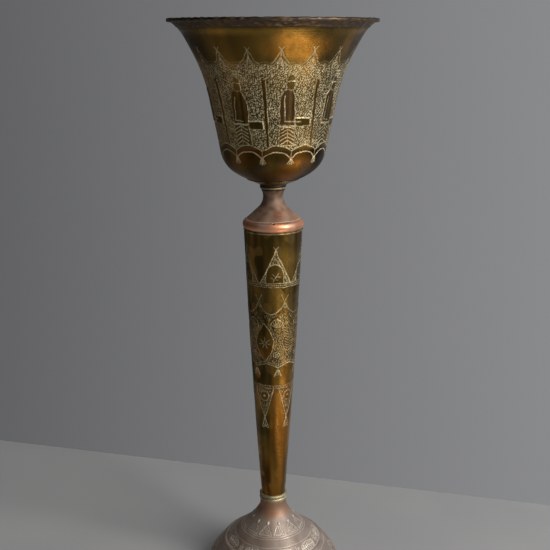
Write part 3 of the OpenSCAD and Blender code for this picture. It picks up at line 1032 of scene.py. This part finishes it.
ROD_R, STUD_R = 4.0, 5.0
washer("clamp_plate_cut", "clamp_plate", "stand", "patinated_brass", ROD_R + 0.3, 0.5)
washer("clamp_washer_pressed", "clamp_washer", "stand", "steel", ROD_R + 0.3)
washer("top_washer_pressed", "top_washer", "stand", "steel", ROD_R + 0.2)
for label in ("clamp_nut", "top_nut"):
    piece = nut(label + "_hex", label, ROD_R)
    assign(piece, "stand", "steel", label)
rod_low, rod_high, _ = node_mm("tie_rod")
rod = threaded("tie_rod_threaded", ROD_R - 0.02, rod_low, rod_high,
               [(rod_low, rod_low + 22), (rod_high - 16, rod_high)])
assign(rod, "stand", "steel", "tie_rod")
washer("neck_bush_turned", "neck_bush", "stand", "patinated_brass", STUD_R + FIT, 0.4)

# ---- the cup

washer("neck_washer_cut", "neck_washer", "cup_seat", "leather", STUD_R + FIT, 0.25,
       turned_relief(0.12, 5.0, 33))

collar_low, spigot_top, collar_r = node_mm("cup_collar")
dish_low, dish_high, dish_r = node_mm("cup_dish")
bead_h = 2.6
bead_top = collar_low + bead_h
SPIGOT_R = 9.0
band_corners = [
    (collar_r - 1.3, bead_top + 0.1), (collar_r - 1.3, bead_top + 0.5),
    (collar_r, bead_top + 0.5), (collar_r, dish_low), (SPIGOT_R, dish_low),
]
profile = np.vstack(
    [
        [(STUD_R + FIT, collar_low), (collar_r - 1.6, collar_low)],
        arc((collar_r - 1.5, collar_low + bead_h / 2), bead_h / 2, -88, 70, 14),
        soften(band_corners, 0.15)[2:-2],
        [(SPIGOT_R, dish_low), (SPIGOT_R, spigot_top), (STUD_R + FIT, spigot_top)],
    ]
)
collar = revolve("cup_collar_turned", profile, 144, collar_relief)
assign(collar, "cup", "patinated_brass", "cup_collar")

bowl_low = node_mm("cup_bowl")[0]
bowl_path = trace(
    (STUD_R + FIT, bowl_low, 90),
    [("level", 11.6), ("bend", 32, 70), ("bend", 54, 53), ("bend", 31, 11.2), ("rise", 53),
     ("bend", 170, 28.5), ("rise", 11), ("bend", 60, 48.5), ("rise", 2.2)],
)
LIP_BEAD = 0.75 + CUP_T + FIT
end_r, end_z, end_slope = bowl_path[-1]
slope = math.radians(end_slope)
up = np.array([math.sin(slope), math.cos(slope)])
out = np.array([math.cos(slope), -math.sin(slope)])
lip_mid = np.array([end_r, end_z]) + (LIP_BEAD - CUP_T) * out
turns = np.radians(np.linspace(-120, 172, 22))
lip = [lip_mid + LIP_BEAD * (math.cos(t) * out + math.sin(t) * up) for t in turns]
reach = math.sqrt(LIP_BEAD**2 - (LIP_BEAD - CUP_T) ** 2)
left = np.hypot(*(bowl_path[:, :2] - bowl_path[-1, :2]).T)
outside = thin_out(bowl_path[left > reach + 0.1], fine(470, 609, 0.55, 1.2))
inside = thin_out(inner(bowl_path[left > 0.5], CUP_T), 2.0)
section = np.vstack([outside, lip, inside])
outer_rows = len(outside) + len(lip) - 4
bowl = revolve("cup_bowl_chased", section, around(760), cup_relief, outer_rows, sharp=60)
assign(bowl, "cup", "patinated_brass", "cup_bowl")

DISH_RIM_SLOPE = math.radians(70)
dish_corners = [
    (SPIGOT_R + FIT, dish_low),
    (collar_r, dish_low),
    (dish_r, dish_high - CUP_T * math.sin(DISH_RIM_SLOPE)),
    (dish_r - CUP_T * math.cos(DISH_RIM_SLOPE), dish_high),
    (collar_r, dish_low + CUP_T),
    (SPIGOT_R + FIT, dish_low + CUP_T),
]
dish = revolve(
    "cup_dish_raised", rounded(dish_corners, 0.2, 0.7), 192, turned_relief(0.06, 9.0, 43)
)
assign(dish, "cup", "patinated_brass", "cup_dish")

washer("cup_inner_washer_cut", "cup_inner_washer", "cup", "bright_brass", STUD_R + FIT)

stud_low, stud_high, head_r = node_mm("cup_stud")
head_z = node_mm("cup_inner_washer")[1]
head_h = stud_high - head_z
dome_r = (head_r**2 + head_h**2) / (2 * head_h)
half_turn = math.degrees(math.asin(head_r / dome_r))
dome = arc((0, stud_high - dome_r), dome_r, 90 - half_turn, 89.7, 14)
stud = threaded("cup_stud_threaded", STUD_R - 0.02, stud_low, head_z,
                [(stud_low, head_z - 6)], [(STUD_R - 0.02, head_z), (head_r - 0.2, head_z), *dome])
assign(stud, "cup", "bright_brass", "cup_stud")

# ---- the pieces that stay as CAD made them

for label, slot_name in (
    ("foot_edge_wire", "steel"), ("stem_plug", "patinated_brass"), ("rim_wire", "steel"),
):
    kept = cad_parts[label]
    kept.data.materials.clear()
    kept.data.materials.append(SLOTS[slot_name])

# ---- floor, lights and camera

BACK_EDGE = np.array([(-0.417, 0.327), (0.359, 0.133)])     # where the floor ends, from above
HALF_WIDTH, DEPTH = 3.0, 4.0
along = (BACK_EDGE[1] - BACK_EDGE[0]) / np.hypot(*(BACK_EDGE[1] - BACK_EDGE[0]))
forward = np.array([along[1], -along[0]])
corners = [
    BACK_EDGE.mean(0) + side * HALF_WIDTH * along + depth * DEPTH * forward
    for side, depth in ((-1, 1), (1, 1), (1, 0), (-1, 0))
]
floor_mesh = bpy.data.meshes.new("floor")
floor_mesh.from_pydata([(x, y, 0) for x, y in corners], [], [(0, 1, 2, 3)])
floor = bpy.data.objects.new("floor", floor_mesh)
bpy.context.scene.collection.objects.link(floor)
paint, tree, shader, floor_place = new_material("floor_paint")
speckle = span(tree, noise(tree, floor_place, 3.0, 4), 0.3, 0.7)
tone = mix(tree, speckle, (0.36, 0.365, 0.37), (0.42, 0.42, 0.415))
tree.links.new(tone, shader["Base Color"])
shader["Roughness"].default_value = 0.8
floor_mesh.materials.append(paint)

# the room is dim on the left and bright on the right
world = bpy.data.worlds.new("room")
bpy.context.scene.world = world
world.use_nodes = True
tree = world.node_tree
direction = add(tree, "ShaderNodeTexCoord").outputs["Generated"]
side = add(tree, "ShaderNodeSeparateXYZ", {"Vector": direction}).outputs["X"]
level = span(tree, side, -0.7, 0.7, 0.03, 0.35, "LINEAR")
tree.links.new(level, tree.nodes["Background"].inputs["Strength"])
tree.nodes["Background"].inputs["Color"].default_value = (0.98, 0.99, 1.02, 1)


def soft_light(name, spot, aim, size, watts, colour, turn=None):
    """An area light at spot that shines at aim; turn says how it lies if that is straight up."""
    data = bpy.data.lights.new(name, "AREA")
    data.shape = "RECTANGLE"
    data.size, data.size_y = size
    data.energy = watts
    data.color = colour
    lamp = bpy.data.objects.new(name, data)
    lamp.location = spot
    away = np.array(spot) - np.array(aim)
    if turn is None:
        turn = math.atan2(away[0], -away[1])
    lamp.rotation_euler = (math.atan2(math.hypot(away[0], away[1]), away[2]), 0, turn)
    lamp.visible_camera = False
    bpy.context.scene.collection.objects.link(lamp)


soft_light("window", spot=(1.35, -0.95, 1.25), aim=(0, 0, 0.2), size=(0.9, 1.1), watts=30,
           colour=(1.0, 0.98, 0.95))
soft_light("ceiling", spot=(0.2, -0.3, 2.4), aim=(0, 0, 0), size=(1.4, 1.4), watts=6,
           colour=(1.0, 1.0, 1.0))
soft_light("low_card", spot=(0.37, -0.335, 0.02), aim=(0.37, -0.335, 1.0), size=(0.48, 0.15),
           watts=0.95, colour=(1.0, 0.86, 0.62), turn=math.radians(22))

CAMERA_SPOT, CAMERA_DOWN = (0.002, -0.9238, 0.597), 15.12
camera_data = bpy.data.cameras.new("camera")
camera_data.sensor_width = 36.0
camera_data.lens = 58.9
camera = bpy.data.objects.new("camera", camera_data)
camera.location = CAMERA_SPOT
camera.rotation_euler = (math.radians(90 - CAMERA_DOWN), 0, 0)
bpy.context.scene.collection.objects.link(camera)
bpy.context.scene.camera = camera
bpy.context.scene.view_settings.view_transform = "Standard"
